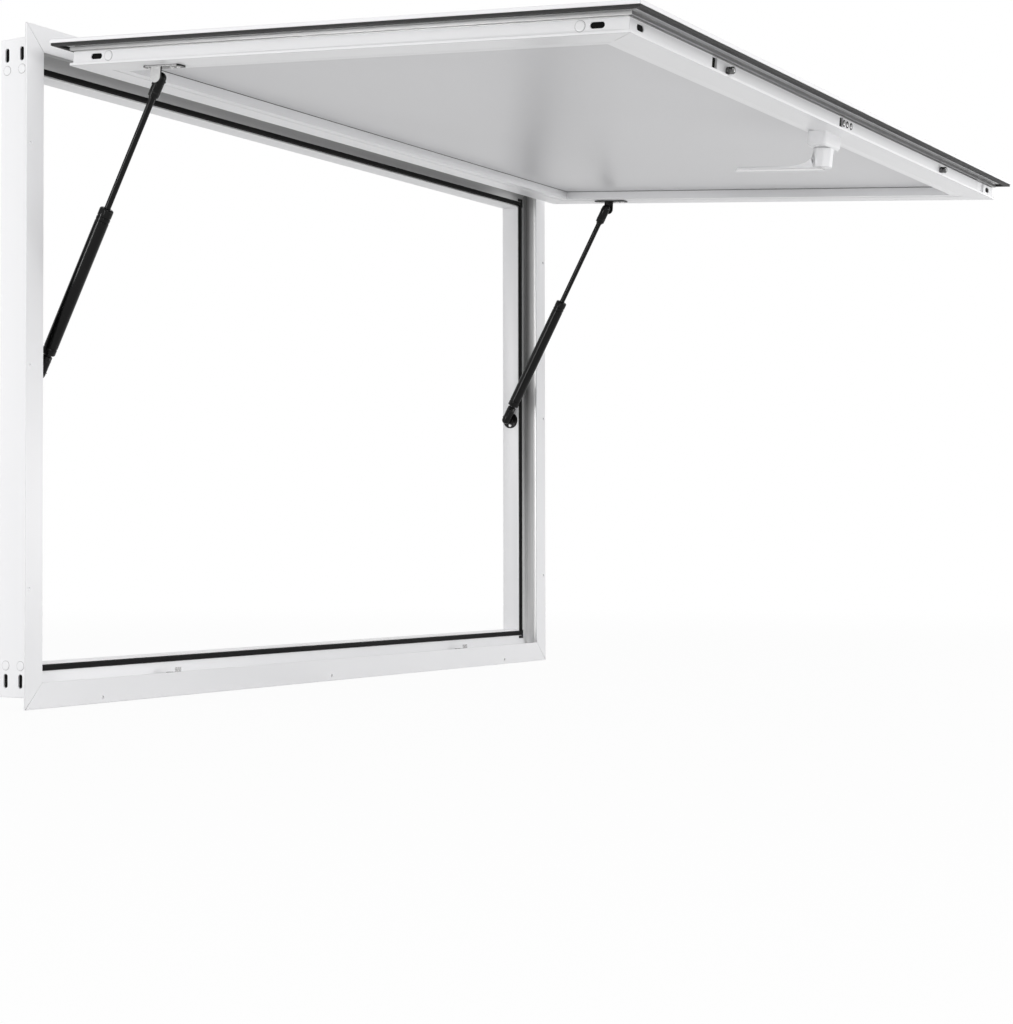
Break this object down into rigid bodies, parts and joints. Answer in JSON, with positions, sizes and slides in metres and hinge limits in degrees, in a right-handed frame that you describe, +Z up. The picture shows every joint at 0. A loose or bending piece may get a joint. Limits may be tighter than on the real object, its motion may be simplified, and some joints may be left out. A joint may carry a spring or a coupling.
{
  "type": "concession window",
  "caption": "Concession window: mitred flanged aluminium frame with a top-hinged solid awning leaf on gas struts, slide-bar lock and lever handle",
  "frame": {"origin": "on the back face of the frame's flange, at mid-width of its lower edge", "axes": "+X along the width to the right as seen from outside, +Y into the room, +Z up; the outside is -Y"},
  "size_m": [1.346, 0.863, 0.838],
  "materials": {
    "white_frame": "smooth white powder coat on aluminium",
    "seal_rubber": "matt black extruded rubber",
    "panel_white": "satin pale grey sheet over a foam core",
    "steel_bright": "plain steel pin",
    "strut_black": "satin black enamel",
    "rod_steel": "ground and polished steel rod",
    "steel_dark": "black coated steel",
    "roller_steel": "dark worn steel",
    "bar_white": "white coated bar",
    "keeper_steel": "pressed steel",
    "handle_white": "white painted casting"
  },
  "bodies": {
    "frame": {"frame_head": "white_frame", "frame_sill": "white_frame", "frame_jamb_left": "white_frame", "frame_jamb_right": "white_frame", "stop_seal_head": "seal_rubber", "stop_seal_sill": "seal_rubber", "stop_seal_jamb_left": "seal_rubber", "stop_seal_jamb_right": "seal_rubber", "hinge_leaf_fixed": "white_frame", "hinge_pin": "steel_bright", "strut_stud_left": "steel_dark", "strut_stud_right": "steel_dark", "keeper_left": "keeper_steel", "keeper_right": "keeper_steel"},
    "awning": {"sash_rail_hinge": "white_frame", "sash_rail_front": "white_frame", "sash_stile_left": "white_frame", "sash_stile_right": "white_frame", "lip_seal_rail_hinge": "seal_rubber", "lip_seal_rail_front": "seal_rubber", "lip_seal_stile_left": "seal_rubber", "lip_seal_stile_right": "seal_rubber", "awning_panel": "panel_white", "hinge_leaf_moving": "white_frame", "strut_bracket_left": "steel_dark", "strut_bracket_right": "steel_dark", "handle_base": "handle_white"},
    "strut_rod_body_left": {"strut_rod_left": "rod_steel", "strut_rod_socket_left": "strut_black"},
    "strut_tube_body_left": {"strut_tube_left": "strut_black", "strut_foot_socket_left": "strut_black"},
    "strut_rod_body_right": {"strut_rod_right": "rod_steel", "strut_rod_socket_right": "strut_black"},
    "strut_tube_body_right": {"strut_tube_right": "strut_black", "strut_foot_socket_right": "strut_black"},
    "handle": {"handle_lever": "handle_white"},
    "lock_bars": {"lock_bar_left": "bar_white", "lock_bar_right": "bar_white", "lock_link_plate": "bar_white", "lock_roller_left": "roller_steel", "lock_roller_right": "roller_steel"}
  },
  "joints": [
    {"name": "awning_hinge", "type": "hinge", "parent": "frame", "child": "awning", "pos_m": [0, -0.0175, 0.819], "axis": [1, 0, 0], "range_deg": [0, 85.4]},
    {"name": "handle_turn", "type": "hinge", "parent": "awning", "child": "handle", "pos_m": [0.008, -0.75567, 0.71045], "axis": [0, 0.0802, -0.9968], "range_deg": [0, 90]},
    {"name": "lock_slide", "type": "slide", "parent": "awning", "child": "lock_bars", "axis": [1, 0, 0], "range_m": [0, 0.0152]},
    {"name": "strut_swing_left", "type": "hinge", "parent": "awning", "child": "strut_rod_body_left", "pos_m": [-0.603, -0.15448, 0.76334], "axis": [1, 0, 0], "range_deg": [-112.17, 0]},
    {"name": "strut_slide_left", "type": "slide", "parent": "strut_rod_body_left", "child": "strut_tube_body_left", "axis": [0, -0.4807, 0.8769], "range_m": [0, 0.13418]},
    {"name": "strut_swing_right", "type": "hinge", "parent": "awning", "child": "strut_rod_body_right", "pos_m": [0.603, -0.15448, 0.76334], "axis": [1, 0, 0], "range_deg": [-112.17, 0]},
    {"name": "strut_slide_right", "type": "slide", "parent": "strut_rod_body_right", "child": "strut_tube_body_right", "axis": [0, -0.4807, 0.8769], "range_m": [0, 0.13418]}
  ],
  "couplings": [
    {"joint": "lock_slide", "follows": "handle_turn", "m_per_rad": 0.009549},
    {"joint": "strut_swing_left", "follows": "awning_hinge", "ratio": -1.3122},
    {"joint": "strut_slide_left", "follows": "awning_hinge", "m_per_rad": 0.089956},
    {"joint": "strut_swing_right", "follows": "awning_hinge", "ratio": -1.3122},
    {"joint": "strut_slide_right", "follows": "awning_hinge", "m_per_rad": 0.089956}
  ]
}
